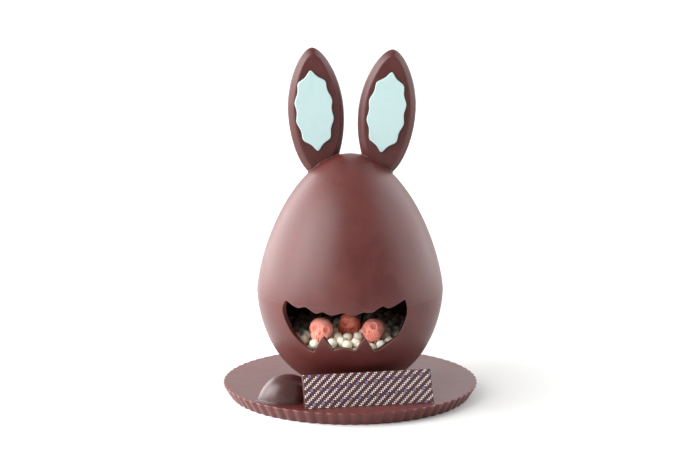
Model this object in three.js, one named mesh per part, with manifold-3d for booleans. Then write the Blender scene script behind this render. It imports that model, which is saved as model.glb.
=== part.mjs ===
// A hollow chocolate egg with long ears, on a fluted chocolate disc. A jagged mouth is cut through the
// front of the shell, and shows the heap of sugar pearls inside with three sugar skulls on it. A printed
// bar and a small half egg stand on the disc in front. Millimetres, +Z up, the front faces -Y.
// The origin is the centre of the disc's underside.

import * as THREE from "three";
import { mergeVertices } from "three/addons/utils/BufferGeometryUtils.js";
import Module from "manifold-3d";

// Clearances
const GLUE_GAP = 0.3;
const HEAP_GAP = 0.6;

// Fluted disc
const DISC_RADIUS = 75;
const DISC_FOOT_RADIUS = 70.5;
const DISC_HEIGHT = 8;
const FLUTES = 70;
const FLUTE_DEPTH = 1.2;
const FLUTE_STEPS = 4;
const DISC_EDGE = 0.5;

// Egg shell, a body of revolution that is widest at EGG_WAIST
const EGG_WAIST = 63.2;
const EGG_RADIUS = 54.5;
const EGG_UPPER = { height: 80, fall: 1.463, round: 1.98 };
const EGG_LOWER = { height: 56.6, fall: 1.714, round: 2.752 };
const EGG_WALL = 3.3;
const EGG_SIDES = 48;
const EGG_RINGS = 18;
const HOLLOW_SIDES = 28;
const HOLLOW_RINGS = 12;

// Mouth, as azimuth in degrees from the front, and height
const MOUTH_UPPER_LIP = [
  [-33.3, 61.9], [-28.1, 63.2], [-21, 59.8], [-16.7, 61.2], [-11.3, 59.3], [-3.8, 61.1],
  [2, 59.3], [8.2, 61.5], [13, 60.8], [20, 64.3], [24.5, 62.8], [35.6, 66.7],
];
const MOUTH_RIGHT_SIDE = [[37, 57.6], [33.3, 47.8], [29.1, 43.8], [21.9, 39.5], [17.4, 37.8]];
const MOUTH_RIGHT_FANG = [[9.6, 46.3], [3.5, 37.4]];
const MOUTH_LOWER_LIP = [[-3.5, 39.3], [-10.5, 37.6]];
const MOUTH_LEFT_FANG = [[-16.2, 46], [-25.5, 35.5]];
const MOUTH_LEFT_SIDE = [[-30.5, 37.1], [-36.2, 41.8], [-41.9, 48.5], [-45.7, 59], [-42.6, 65.4]];
const MOUTH_STEPS = 4;
const MOUTH_CUT_INNER = 20;
const MOUTH_CUT_OUTER = 95;

// Ears, in their own plane: along the ear and across it
const EAR_LENGTH = 76.6;
const EAR_HALF_WIDTH = 16.3;
const EAR_FULLNESS = 0.55;
const EAR_THICKNESS = 8.5;
const EAR_ROUNDING = 2.8;
const EAR_STEPS = 15;
const EAR_FOOT = { across: 17.4, back: 4, up: 129.4 };
const EAR_TURN = 5;
const LEFT_EAR_LEAN = 3.6;
const RIGHT_EAR_LEAN = 5.6;

// Mint inlays on the ears' front faces
const INLAY_CENTRE = 40.4;
const INLAY_HALF_LENGTH = 23.7;
const INLAY_HALF_WIDTH = 11.6;
const INLAY_POINTS = 10;
const INLAY_WAVE = 0.7;
const INLAY_STEPS = 4;
const INLAY_THICKNESS = 1.3;

// Heap of pearls
const PEARL_RADIUS = 3;
const HEAP_CROWN = 43;
const HEAP_EDGE = 38;
const HEAP_REACH = 43;
const HEAP_FLOOR = 11.3;
const HEAP_RINGS = 5;
const HEAP_SIDES = 28;
const CORE_DROP = 1.4;
const PEARL_SPACING = 6.5;
const PEARL_LIMIT = 42.2;
const SPIRAL_STEP = 1.2;
const GOLDEN_ANGLE = Math.PI * (3 - Math.sqrt(5));
const SKULL_CLEARANCE = 8;
const PEARLS_AT_THE_MOUTH = [
  [-20.7, -35.3], [-26.5, -27.6], [-11, -36.2], [-5.6, -38.2], [0.3, -39.4], [4.9, -35.4], [12.5, -36.6],
  [18.1, -36.4], [22.3, -31], [-7.2, -28.2], [-1.4, -28.6], [4.4, -28.2], [27, -20.5], [21.6, -17.2],
  [-30.9, -21.5], [-27.7, -14.8], [23.7, -2.1], [-30.9, 0.2], [-25.4, -5.1], [22.7, 14], [-7.3, -1.6],
];

// Sugar skulls: half sizes and places of their forms, and where each one lies in the heap
const SKULL = {
  cranium: [6.6, 6, 5.9],
  jaw: [4.6, 3.7, 3.9],
  jawAt: [0, -1.6, -3.9],
  eye: [1.7, 1.7, 1.9],
  eyeAt: [2.8, -5.5, -0.3],
  nose: [0.9, 0.9, 1],
  noseAt: [0, -5.6, -2.7],
};
const SKULL_PLACES = {
  skull_left: { at: [-16.6, -30, 46.4], roll: 2, turn: 6 },
  skull_middle: { at: [0.6, -17, 46], roll: 48, turn: -4 },
  skull_right: { at: [13.6, -29, 46.2], roll: -21, turn: -26 },
};

// Half egg lying on its cut, and the bar that leans back beside it
const HALF_EGG = {
  at: [-35.8, -45.2], turn: 10.3, left: 17.5, right: 16.6, halfWidth: 11, height: 14.9,
  taper: 2.63, blunt: 1.22, rings: 11, sides: 20,
};
const BAR = { at: [-25.2, -66.1], turn: 10.7, length: 74.6, height: 20.4, lean: 30.6, thickness: 4, bead: 3 };

const COLOURS = {
  chocolate: 0x6a3a37, mint: 0xcdeae8, pearl: 0xeee8d2, coral: 0xe08471, print: 0x5c3431,
};

const wasm = await Module();
wasm.setup();

const radians = THREE.MathUtils.degToRad;

// Makes a closed solid from a geometry, without the zero-width triangles at poles and folds.
function solid(geometry) {
  const bare = geometry.clone();
  bare.deleteAttribute("normal");
  bare.deleteAttribute("uv");
  const merged = mergeVertices(bare, 1e-4);
  const corners = merged.index.array;
  const kept = [];
  for (let i = 0; i < corners.length; i += 3) {
    const [a, b, c] = corners.slice(i, i + 3);
    if (a !== b && b !== c && c !== a) {
      kept.push(a, b, c);
    }
  }
  return new wasm.Manifold(
    new wasm.Mesh({
      numProp: 3,
      vertProperties: new Float32Array(merged.attributes.position.array),
      triVerts: new Uint32Array(kept),
    }),
  );
}

// Turns a solid back into a geometry that a mesh can show.
function geometryOf(body) {
  const { vertProperties, triVerts } = body.getMesh();
  const geometry = new THREE.BufferGeometry();
  geometry.setAttribute("position", new THREE.BufferAttribute(vertProperties, 3));
  geometry.setIndex(new THREE.BufferAttribute(triVerts, 1));
  geometry.computeVertexNormals();
  return geometry;
}

// The largest of the separate bodies that a cut leaves.
function largestPiece(body) {
  const pieces = body.decompose();
  return pieces.reduce((best, piece) => (piece.volume() > best.volume() ? piece : best));
}

// A named mesh with its own finish.
function piece(name, body, color, roughness) {
  const material = new THREE.MeshStandardMaterial({ color, roughness, metalness: 0 });
  const mesh = new THREE.Mesh(geometryOf(body), material);
  mesh.name = name;
  return mesh;
}

// Changes each corner of a geometry by a rule that edits a vector in place.
function reshape(geometry, rule) {
  const position = geometry.attributes.position;
  const point = new THREE.Vector3();
  for (let i = 0; i < position.count; i += 1) {
    point.fromBufferAttribute(position, i);
    rule(point);
    position.setXYZ(i, point.x, point.y, point.z);
  }
  return geometry;
}

// A body of revolution about Z from [radius, height] pairs that run upwards.
function revolve(profile, sides) {
  const geometry = new THREE.LatheGeometry(profile.map(([r, z]) => new THREE.Vector2(r, z)), sides);
  return geometry.rotateX(Math.PI / 2);
}

// The disc: its side leans out to the rim and is drawn in by a narrow groove between each two flutes.
function flutedDisc() {
  const profile = [
    [0, 0], [DISC_FOOT_RADIUS, 0], [DISC_RADIUS, DISC_HEIGHT - DISC_EDGE],
    [DISC_RADIUS - DISC_EDGE, DISC_HEIGHT], [0, DISC_HEIGHT],
  ];
  const disc = reshape(revolve(profile, FLUTES * FLUTE_STEPS), (point) => {
    const reach = Math.hypot(point.x, point.y);
    if (reach === 0) {
      return;
    }
    const groove = Math.abs(Math.cos((FLUTES * Math.atan2(point.y, point.x)) / 2));
    const drawnIn = 1 - (FLUTE_DEPTH * (1 - Math.sqrt(1 - (1 - groove) ** 2))) / reach;
    point.set(point.x * drawnIn, point.y * drawnIn, point.z);
  });
  return piece("fluted_disc", solid(disc), COLOURS.chocolate, 0.4);
}

// The egg's radius at a height. An inset above 0 gives the hollow inside, and below 0 a larger egg.
function eggRadius(z, inset = 0) {
  const half = z > EGG_WAIST ? EGG_UPPER : EGG_LOWER;
  const along = Math.min(Math.abs(z - EGG_WAIST) / (half.height - inset), 1);
  return (EGG_RADIUS - inset) * (1 - along ** half.fall) ** (1 / half.round);
}

// The egg's body from a flat floor up to its crown.
function eggBody(inset, floor, rings, sides) {
  const crown = EGG_WAIST + EGG_UPPER.height - inset;
  const profile = [[0, floor]];
  for (let i = 0; i <= rings; i += 1) {
    const rise = Math.sin(Math.PI * (i / rings - 0.5));
    const z = EGG_WAIST + rise * (rise < 0 ? EGG_WAIST - floor : crown - EGG_WAIST);
    profile.push([i === rings ? 0 : eggRadius(z, inset), z]);
  }
  return solid(revolve(profile, sides));
}

// The mouth's outline, with the azimuth along x and the height along y.
function mouthShape() {
  const points = (pairs) => pairs.map(([azimuth, z]) => new THREE.Vector2(azimuth, z));
  const shape = new THREE.Shape();
  shape.moveTo(...MOUTH_LEFT_SIDE.at(-1));
  shape.splineThru(points(MOUTH_UPPER_LIP));
  shape.splineThru(points(MOUTH_RIGHT_SIDE));
  MOUTH_RIGHT_FANG.forEach(([azimuth, z]) => shape.lineTo(azimuth, z));
  shape.splineThru(points(MOUTH_LOWER_LIP));
  MOUTH_LEFT_FANG.forEach(([azimuth, z]) => shape.lineTo(azimuth, z));
  shape.splineThru(points(MOUTH_LEFT_SIDE));
  return shape;
}

// The wedge that cuts the mouth straight towards the egg's axis.
function mouthCutter() {
  const wedge = new THREE.ExtrudeGeometry(mouthShape(), {
    depth: 1, bevelEnabled: false, curveSegments: MOUTH_STEPS,
  });
  return solid(reshape(wedge, (point) => {
    const azimuth = radians(point.x);
    const reach = THREE.MathUtils.lerp(MOUTH_CUT_INNER, MOUTH_CUT_OUTER, point.z);
    point.set(reach * Math.sin(azimuth), -reach * Math.cos(azimuth), point.y);
  }));
}

function eggShell() {
  const outer = eggBody(0, DISC_HEIGHT, EGG_RINGS, EGG_SIDES);
  const hollow = eggBody(EGG_WALL, HEAP_FLOOR, HOLLOW_RINGS, HOLLOW_SIDES);
  const shell = outer.subtract(hollow).subtract(mouthCutter());
  return piece("egg_shell", shell, COLOURS.chocolate, 0.35);
}

// Half of the ear's width at a share of its length from the foot.
function earHalfWidth(share) {
  return EAR_HALF_WIDTH * Math.sin(Math.PI * share) ** EAR_FULLNESS;
}

// An outline in the ear's plane becomes a slab whose back lies at y = 0 and whose front faces -Y.
function slab(points, thickness, rounding, roundingSteps) {
  return new THREE.ExtrudeGeometry(new THREE.Shape(points), {
    depth: thickness - 2 * rounding,
    bevelEnabled: rounding > 0,
    bevelThickness: rounding,
    bevelSize: rounding,
    bevelOffset: -rounding,
    bevelSegments: roundingSteps,
  }).translate(0, 0, rounding).rotateX(Math.PI / 2);
}

// The whole ear, before its foot is cut to the egg.
function earSlab() {
  const points = [];
  for (let i = 1; i < 2 * EAR_STEPS; i += 1) {
    const side = i < EAR_STEPS ? 1 : -1;
    const step = (1 - Math.cos((Math.PI * i) / EAR_STEPS)) / 2;
    const share = 0.02 + 0.98 * step;
    points.push(new THREE.Vector2(side * earHalfWidth(Math.min(share, 1)), EAR_LENGTH * share));
  }
  return slab(points, EAR_THICKNESS, EAR_ROUNDING, 3);
}

// The inlay's edge: points spaced evenly round an ellipse, joined by shallow waves.
function inlayOutline() {
  const ellipse = new THREE.EllipseCurve(0, INLAY_CENTRE, INLAY_HALF_WIDTH, INLAY_HALF_LENGTH,
    Math.PI / 2, (5 * Math.PI) / 2);
  const tips = ellipse.getSpacedPoints(INLAY_POINTS);
  const outline = [];
  for (let i = 0; i < INLAY_POINTS; i += 1) {
    const along = tips[i + 1].clone().sub(tips[i]);
    const inward = new THREE.Vector2(-along.y, along.x).normalize();
    for (let step = 0; step < INLAY_STEPS; step += 1) {
      const share = step / INLAY_STEPS;
      const dip = INLAY_WAVE * Math.sin(Math.PI * share) ** 2;
      outline.push(tips[i].clone().addScaledVector(along, share).addScaledVector(inward, dip));
    }
  }
  return outline;
}

// One ear with its inlay, in a group that leans out to its side.
function ear(side, lean) {
  const name = side < 0 ? "left" : "right";
  const placed = new THREE.Group();
  placed.position.set(side * EAR_FOOT.across, EAR_FOOT.back, EAR_FOOT.up);
  placed.rotation.set(0, side * radians(lean), side * radians(-EAR_TURN), "YXZ");
  placed.updateMatrixWorld();
  const egg = geometryOf(eggBody(-GLUE_GAP, DISC_HEIGHT, EGG_RINGS, EGG_SIDES));
  egg.applyMatrix4(placed.matrixWorld.clone().invert());
  const upright = solid(earSlab().translate(0, EAR_THICKNESS / 2, 0)).subtract(solid(egg));
  const inlayBack = -EAR_THICKNESS / 2 - GLUE_GAP;
  const inlay = slab(inlayOutline(), INLAY_THICKNESS, INLAY_THICKNESS / 4, 1).translate(0, inlayBack, 0);
  placed.add(piece(`ear_${name}`, upright, COLOURS.chocolate, 0.4));
  placed.add(piece(`mint_inlay_${name}`, solid(inlay), COLOURS.mint, 0.5));
  return placed;
}

// The height of the pearls' centres in the heap, highest in the middle.
function heapHeight(reach) {
  return HEAP_EDGE + (HEAP_CROWN - HEAP_EDGE) * Math.max(0, 1 - (reach / HEAP_REACH) ** 2);
}

// Whether a pearl keeps off the skulls and the pearls that already lie there.
function hasRoom(centre, placed) {
  const skulls = Object.values(SKULL_PLACES).map(({ at }) => new THREE.Vector3(...at));
  return skulls.every((skull) => skull.distanceTo(centre) > SKULL_CLEARANCE)
    && placed.every((other) => other.distanceTo(centre) > PEARL_SPACING);
}

// The top layer: the pearls at the mouth, then as many more as fit on a spiral that runs inwards.
function pearlCentres() {
  const onHeap = (x, y) => new THREE.Vector3(x, y, heapHeight(Math.hypot(x, y)));
  const placed = PEARLS_AT_THE_MOUTH.map(([x, y]) => onHeap(x, y));
  const spots = Math.floor((PEARL_LIMIT / SPIRAL_STEP) ** 2);
  for (let i = spots; i > 0; i -= 1) {
    const reach = SPIRAL_STEP * Math.sqrt(i);
    const centre = onHeap(reach * Math.cos(i * GOLDEN_ANGLE), reach * Math.sin(i * GOLDEN_ANGLE));
    if (hasRoom(centre, placed)) {
      placed.push(centre);
    }
  }
  return placed;
}

// The bulk of the heap, which stands on the hollow's floor and follows its wall.
function heapCore() {
  const inset = EGG_WALL + HEAP_GAP;
  const profile = [[0, HEAP_FLOOR]];
  for (let i = 0; i <= HEAP_RINGS; i += 1) {
    const z = HEAP_FLOOR + ((HEAP_EDGE - CORE_DROP - HEAP_FLOOR) * i) / HEAP_RINGS;
    profile.push([eggRadius(z, inset), z]);
  }
  [HEAP_REACH / 2, 0].forEach((reach) => profile.push([reach, heapHeight(reach) - CORE_DROP]));
  return solid(revolve(profile, HEAP_SIDES));
}

function heapOfPearls(skulls) {
  let heap = heapCore();
  pearlCentres().forEach((centre, index) => {
    const ball = new THREE.IcosahedronGeometry(PEARL_RADIUS).rotateZ(index);
    heap = heap.add(solid(ball.translate(centre.x, centre.y, centre.z)));
  });
  skulls.forEach((skull) => {
    heap = heap.subtract(skull);
  });
  return piece("pearl_heap", largestPiece(heap), COLOURS.pearl, 0.3);
}

// An egg-shaped lump with its centre at a point, made of few sides.
function lump(halfSizes, centre, sides) {
  return solid(new THREE.SphereGeometry(1, sides, Math.round(sides / 2) + 1)
    .rotateX(Math.PI / 2)
    .scale(...halfSizes)
    .translate(...centre));
}

// Cranium and jaw together, facing -Y.
function skullForm(margin = 0) {
  const grown = (sizes) => sizes.map((size) => size + margin);
  const cranium = lump(grown(SKULL.cranium), [0, 0, 0], 12);
  return cranium.add(lump(grown(SKULL.jaw), SKULL.jawAt, 9));
}

// The skull with its eye sockets and nose pressed in.
function skullBody() {
  let body = skullForm();
  [-1, 1].forEach((side) => {
    const [across, front, up] = SKULL.eyeAt;
    body = body.subtract(lump(SKULL.eye, [side * across, front, up], 7));
  });
  return body.subtract(lump(SKULL.nose, SKULL.noseAt, 5));
}

// Sets a mesh or a group where a skull lies: rolled sideways, then turned about the upright.
function setSkull(object, { at, roll, turn }) {
  object.position.set(...at);
  object.rotation.set(0, radians(roll), radians(turn), "ZYX");
  object.updateMatrixWorld();
  return object;
}

function skull(name) {
  return setSkull(piece(name, skullBody(), COLOURS.coral, 0.6), SKULL_PLACES[name]);
}

// The space that a skull takes in the heap.
function skullSeat(place) {
  const seat = setSkull(new THREE.Object3D(), place);
  return solid(geometryOf(skullForm(GLUE_GAP)).applyMatrix4(seat.matrixWorld));
}

// The half egg: a whole one whose lower half is pressed flat onto the disc.
function halfEgg() {
  const { at, turn, left, right, halfWidth, height, taper, blunt, rings, sides } = HALF_EGG;
  const profile = [];
  for (let i = 0; i <= rings; i += 1) {
    const along = -Math.cos((Math.PI * i) / rings);
    const girth = along < 0 ? (1 - (-along) ** taper) ** (1 / blunt) : Math.sqrt(1 - along ** 2);
    profile.push([i % rings === 0 ? 0 : girth, along * (along < 0 ? left : right)]);
  }
  const whole = revolve(profile, sides).rotateY(Math.PI / 2);
  const half = reshape(whole, (point) => {
    point.set(point.x, point.y * halfWidth, Math.max(point.z, 0) * height);
  });
  half.rotateZ(radians(turn)).translate(...at, DISC_HEIGHT);
  return piece("half_egg", solid(half), COLOURS.chocolate, 0.35);
}

// The bar: its section leans back, and its foot is set in a bead that backs it.
function printedBar() {
  const { at, turn, length, height, lean, thickness, bead } = BAR;
  const up = new THREE.Vector2(Math.sin(radians(lean)), Math.cos(radians(lean)));
  const back = new THREE.Vector2(up.y, -up.x);
  const footBack = thickness / up.y;
  const section = new THREE.Shape([
    new THREE.Vector2(0, 0),
    new THREE.Vector2(footBack + bead, 0),
    up.clone().multiplyScalar(bead).add(new THREE.Vector2(footBack, 0)),
    up.clone().multiplyScalar(height).addScaledVector(back, thickness),
    up.clone().multiplyScalar(height),
  ]);
  const bar = new THREE.ExtrudeGeometry(section, { depth: length, bevelEnabled: false });
  bar.rotateX(Math.PI / 2).rotateZ(Math.PI / 2);
  const mesh = piece("printed_bar", solid(bar), COLOURS.print, 0.5);
  mesh.position.set(...at, DISC_HEIGHT);
  mesh.rotation.z = radians(turn);
  return mesh;
}

const egg = new THREE.Group();
egg.add(flutedDisc(), eggShell(), halfEgg(), printedBar());
egg.add(ear(-1, LEFT_EAR_LEAN), ear(1, RIGHT_EAR_LEAN));
egg.add(...Object.keys(SKULL_PLACES).map(skull));
egg.add(heapOfPearls(Object.values(SKULL_PLACES).map(skullSeat)));

export default egg;
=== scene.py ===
"""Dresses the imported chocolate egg: shell, ears, disc, bar, half egg, pearls and sugar skulls.

Every form is drawn in millimetres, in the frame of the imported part, and a mesh is made in metres.
"""
import logging
import math
from collections.abc import Callable, Iterable
from dataclasses import dataclass
from enum import Enum
from functools import lru_cache

import bmesh
import bpy
import numpy as np
from bpy.types import Material, Mesh, NodeSocket, Object, World
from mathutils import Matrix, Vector
from mathutils.geometry import delaunay_2d_cdt


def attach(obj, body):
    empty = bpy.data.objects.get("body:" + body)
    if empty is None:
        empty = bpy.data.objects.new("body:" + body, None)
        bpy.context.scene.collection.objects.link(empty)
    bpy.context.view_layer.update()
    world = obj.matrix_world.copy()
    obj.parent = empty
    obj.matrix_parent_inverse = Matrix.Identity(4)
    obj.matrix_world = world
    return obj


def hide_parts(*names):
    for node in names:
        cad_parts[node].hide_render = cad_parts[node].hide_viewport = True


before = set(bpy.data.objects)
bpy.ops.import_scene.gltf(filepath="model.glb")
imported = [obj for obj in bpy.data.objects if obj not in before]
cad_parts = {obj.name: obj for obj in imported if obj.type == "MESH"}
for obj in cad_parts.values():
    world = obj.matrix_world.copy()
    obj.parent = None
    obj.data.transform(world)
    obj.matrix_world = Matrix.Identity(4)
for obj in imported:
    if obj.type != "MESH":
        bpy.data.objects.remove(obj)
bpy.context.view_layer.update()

Array = np.ndarray
Pair = tuple[float, float]
Triple = tuple[float, float, float]
Colour = Triple

LOG = logging.getLogger("chocolate_egg")
MM = 0.001
BODY = "root"
TINY = 1e-9
DISC_TOP = 8.0
BLACK: Colour = (0.0, 0.0, 0.0)
WHITE: Colour = (1.0, 1.0, 1.0)
MIDDLE: Pair = (0.3, 0.7)  # where most of a noise's values lie


class Slot(Enum):
    """The record's material slots."""

    CHOCOLATE = "dark_chocolate"
    PRINT = "printed_chocolate"
    MINT = "mint_chocolate"
    CORAL = "coral_sugar"
    PEARL = "sugar_pearl"


class Side(Enum):
    """Which side of the egg an ear stands on."""

    LEFT = -1
    RIGHT = 1


def rise(value: Array, low: float, high: float) -> Array:
    """A smooth step from 0 at low to 1 at high."""
    share = np.clip((value - low) / (high - low), 0, 1)
    return share * share * (3 - 2 * share)


def swell(value: Array, at: float, width: float) -> Array:
    """A soft bump, 1 at its place and next to nothing a few widths away."""
    return np.exp(-((value - at) / width) ** 2)


def unit(vectors: Array) -> Array:
    """Each row scaled to length 1."""
    return vectors / np.maximum(np.linalg.norm(vectors, axis=-1, keepdims=True), TINY)


def around(count: int) -> Array:
    """Angles in radians, evenly spaced round a full turn."""
    return np.arange(count) * 2 * math.pi / count


def quarter(steps: int) -> Array:
    """Angles in radians from 0 to a quarter turn."""
    return np.linspace(0, math.pi / 2, steps + 1)


def level_ring(reach: Array | float, angles: Array, z: float) -> Array:
    """A level ring round the axis, one point a row."""
    return np.stack([reach * np.cos(angles), reach * np.sin(angles), np.full(len(angles), z)], -1)


def ripple(angles: Array, waves: Iterable[Triple]) -> Array:
    """Waves round a ring, each given as how many there are, its phase and its strength."""
    return sum(strength * np.sin(count * angles + phase) for count, phase, strength in waves)


def turned(degrees: float, axis: int) -> Array:
    """The matrix of a turn about X, Y or Z.

    Args:
        degrees: how far it turns.
        axis: 0, 1 or 2 for X, Y or Z.

    Returns:
        A 3 by 3 matrix for columns.
    """
    cos, sin = math.cos(math.radians(degrees)), math.sin(math.radians(degrees))
    first, second = [(1, 2), (2, 0), (0, 1)][axis]
    matrix = np.eye(3)
    matrix[first, first] = matrix[second, second] = cos
    matrix[first, second] = -sin
    matrix[second, first] = sin
    return matrix


# Shading


@dataclass(frozen=True)
class Noise:
    """An even noise: its patches' width, its finer layers, their strength and its distortion."""

    size_mm: float
    detail: float = 3.0
    roughness: float = 0.5
    warp: float = 0.0


def math_node(operation: str, reflected: bool = False) -> Callable[..., "Value"]:
    """Makes a method of Value that adds one Math node.

    Args:
        operation: the node's operation.
        reflected: whether the method's own value comes second.

    Returns:
        The method, which takes the other value where there is one.
    """
    def method(value: "Value", *others: "float | Value") -> "Value":
        """The operation on the value and the others."""
        order = (*others, value) if reflected else (value, *others)
        return value.book.node("ShaderNodeMath", {"operation": operation}, dict(enumerate(order)))

    return method


class Value:
    """A socket whose arithmetic adds Math nodes to its tree."""

    def __init__(self, book: "NodeBook", socket: NodeSocket | None) -> None:
        """Wraps a socket of the book's tree."""
        self.book = book
        self.socket = socket

    __add__ = __radd__ = math_node("ADD")
    __sub__, __rsub__ = math_node("SUBTRACT"), math_node("SUBTRACT", reflected=True)
    __mul__ = __rmul__ = math_node("MULTIPLY")
    __truediv__, __rtruediv__ = math_node("DIVIDE"), math_node("DIVIDE", reflected=True)
    __abs__ = math_node("ABSOLUTE")
    whole, part = math_node("FLOOR"), math_node("FRACT")
    below, above = math_node("LESS_THAN"), math_node("GREATER_THAN")
    most = math_node("MAXIMUM")

    def ramp(self, low: float, high: float, start: float = 0.0, end: float = 1.0) -> "Value":
        """A smooth ramp of self.

        Args:
            low: where the ramp starts.
            high: where it ends.
            start: its value at low.
            end: its value at high.

        Returns:
            The ramped value.
        """
        sockets = {"Value": self, "From Min": low, "From Max": high, "To Min": start, "To Max": end}
        return self.book.node("ShaderNodeMapRange", {"interpolation_type": "SMOOTHSTEP"}, sockets)


class NodeBook:
    """Adds nodes to one material or world."""

    def __init__(self, owner: Material | World) -> None:
        """Clears the owner's tree."""
        self.owner = owner
        owner.use_nodes = True
        self.tree = owner.node_tree
        self.tree.nodes.clear()

    def node(self, kind: str, settings: dict | None = None, sockets: dict | None = None,
             output: int | str = 0) -> Value:
        """Adds one node.

        Args:
            kind: the node's type name.
            settings: its properties, which are set first.
            sockets: a number, colour, vector or Value for each input, by name or place.
            output: the output that is handed back.

        Returns:
            The chosen output.
        """
        made = self.tree.nodes.new(kind)
        for key, setting in (settings or {}).items():
            setattr(made, key, setting)
        for key, value in (sockets or {}).items():
            if isinstance(value, Value):
                self.tree.links.new(value.socket, made.inputs[key])
            else:
                made.inputs[key].default_value = value
        return Value(self, made.outputs[output] if made.outputs else None)

    def place(self) -> Value:
        """The point on the surface, in metres."""
        return self.node("ShaderNodeTexCoord", output="Object")

    def along(self, axis: str, point: Value | None = None) -> Value:
        """One coordinate of a point, else of the point on the surface."""
        return self.node("ShaderNodeSeparateXYZ", None, {0: point or self.place()}, axis)

    def kept(self, name: str) -> Value:
        """A number kept at the mesh's corners."""
        return self.node("ShaderNodeAttribute", {"attribute_name": name}, output="Fac")

    def noise(self, noise: Noise) -> Value:
        """The noise's value on the surface, about 0.5."""
        return self.node("ShaderNodeTexNoise", None, {
            "Vector": self.place(), "Scale": 1 / (noise.size_mm * MM), "Detail": noise.detail,
            "Roughness": noise.roughness, "Distortion": noise.warp})

    def blend(self, share: "float | Value", low: "Colour | Value", high: "Colour | Value") -> Value:
        """A mix of two colours.

        Args:
            share: how much of high there is.
            low: the colour at 0.
            high: the colour at 1.

        Returns:
            The mixed colour.
        """
        ends = [c if isinstance(c, Value) else (*c, 1.0) for c in (low, high)]
        sockets = {0: share, 6: ends[0], 7: ends[1]}
        return self.node("ShaderNodeMix", {"data_type": "RGBA"}, sockets, 2)

    def bump(self, height: Value, depth_mm: float) -> Value:
        """The normal bumped by a height, which counts in shares of the depth."""
        return self.node("ShaderNodeBump", None, {"Height": height, "Distance": depth_mm * MM})

    def finish(self, **sockets: "float | Colour | Value") -> Material:
        """Ends the material with a principled shader.

        Args:
            **sockets: its inputs, with _ for each space in their names.

        Returns:
            The material.
        """
        named = {key.replace("_", " "): value for key, value in sockets.items()}
        shader = self.node("ShaderNodeBsdfPrincipled", None, named)
        self.node("ShaderNodeOutputMaterial", None, {"Surface": shader})
        return self.owner


@dataclass(frozen=True)
class DarkChocolate:
    """Satin dark chocolate with faint cloudy patches and a fine skin."""

    name: str = "dark_chocolate"
    deep: Colour = (0.074, 0.0136, 0.0116)
    pale: Colour = (0.094, 0.0200, 0.0175)
    veil: Colour = (0.122, 0.046, 0.043)
    veil_share: float = 0.22
    veil_from: Pair = (0.52, 0.8)
    speck_share: float = 0.25
    speck_from: Pair = (0.62, 0.85)
    gloss: float = 0.36
    gloss_sway: float = 0.035
    gloss_from: Pair = (0.25, 0.75)
    dull: float = 0.05
    dull_from: Pair = (0.5, 0.8)
    clouds: Noise = Noise(17, 4, 0.55, 0.4)
    streaks: Noise = Noise(5.5, 5, 0.6, 1.2)
    grain: Noise = Noise(0.45, 2, 0.6)
    skin_mm: float = 0.03
    skin_shares: Pair = (0.8, 0.5)
    seam_mm: float | None = None
    seam_half_mm: Pair = (0.08, 0.35)
    seam_rise: float = 2.2
    seam_share: float = 0.16
    # Painted shade: how far the mouth's cut wall and the inside are darkened toward black
    cut_shade: float = 0.7
    # Painted highlight: a paler colour along the mouth's outer edge
    rim: Colour = (0.36, 0.17, 0.14)
    painted_rim_highlight_share: float = 0.45
    ior: float = 1.44
    slot: Slot = Slot.CHOCOLATE

    def material(self) -> Material:
        """Builds the material.

        Returns:
            The material.
        """
        book = NodeBook(bpy.data.materials.new(self.name))
        clouds, streaks, grain = map(book.noise, (self.clouds, self.streaks, self.grain))
        base = book.blend(clouds.ramp(*MIDDLE), self.deep, self.pale)
        base = book.blend(streaks.ramp(*self.veil_from, 0, self.veil_share), base, self.veil)
        base = book.blend(grain.ramp(*self.speck_from, 0, self.speck_share), base, self.veil)
        skin = grain * self.skin_shares[1] + streaks * self.skin_shares[0]
        if self.seam_mm is not None:
            inner, outer = (half * MM for half in self.seam_half_mm)
            line = abs(book.along("Z") - self.seam_mm * MM).ramp(inner, outer, 1, 0)
            skin = skin + line * self.seam_rise
            base = book.blend(line * self.seam_share, base, self.veil)
            # Painted shade: the mouth's cut wall darkened toward black, more on its right side and
            # deeper in
            base = book.blend(book.kept("cut") * self.cut_shade, base, BLACK)
            # Painted highlight: the rounding of the mouth's outer edge lightened toward a pale
            # red-brown
            base = book.blend(book.kept("rim") * self.painted_rim_highlight_share, base, self.rim)
        least, most = self.gloss - self.gloss_sway, self.gloss + self.gloss_sway
        rough = clouds.ramp(*self.gloss_from, least, most)
        rough = rough + streaks.ramp(*self.dull_from, 0, self.dull)
        return book.finish(
            Base_Color=base, Roughness=rough, Normal=book.bump(skin, self.skin_mm), IOR=self.ior)


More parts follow.
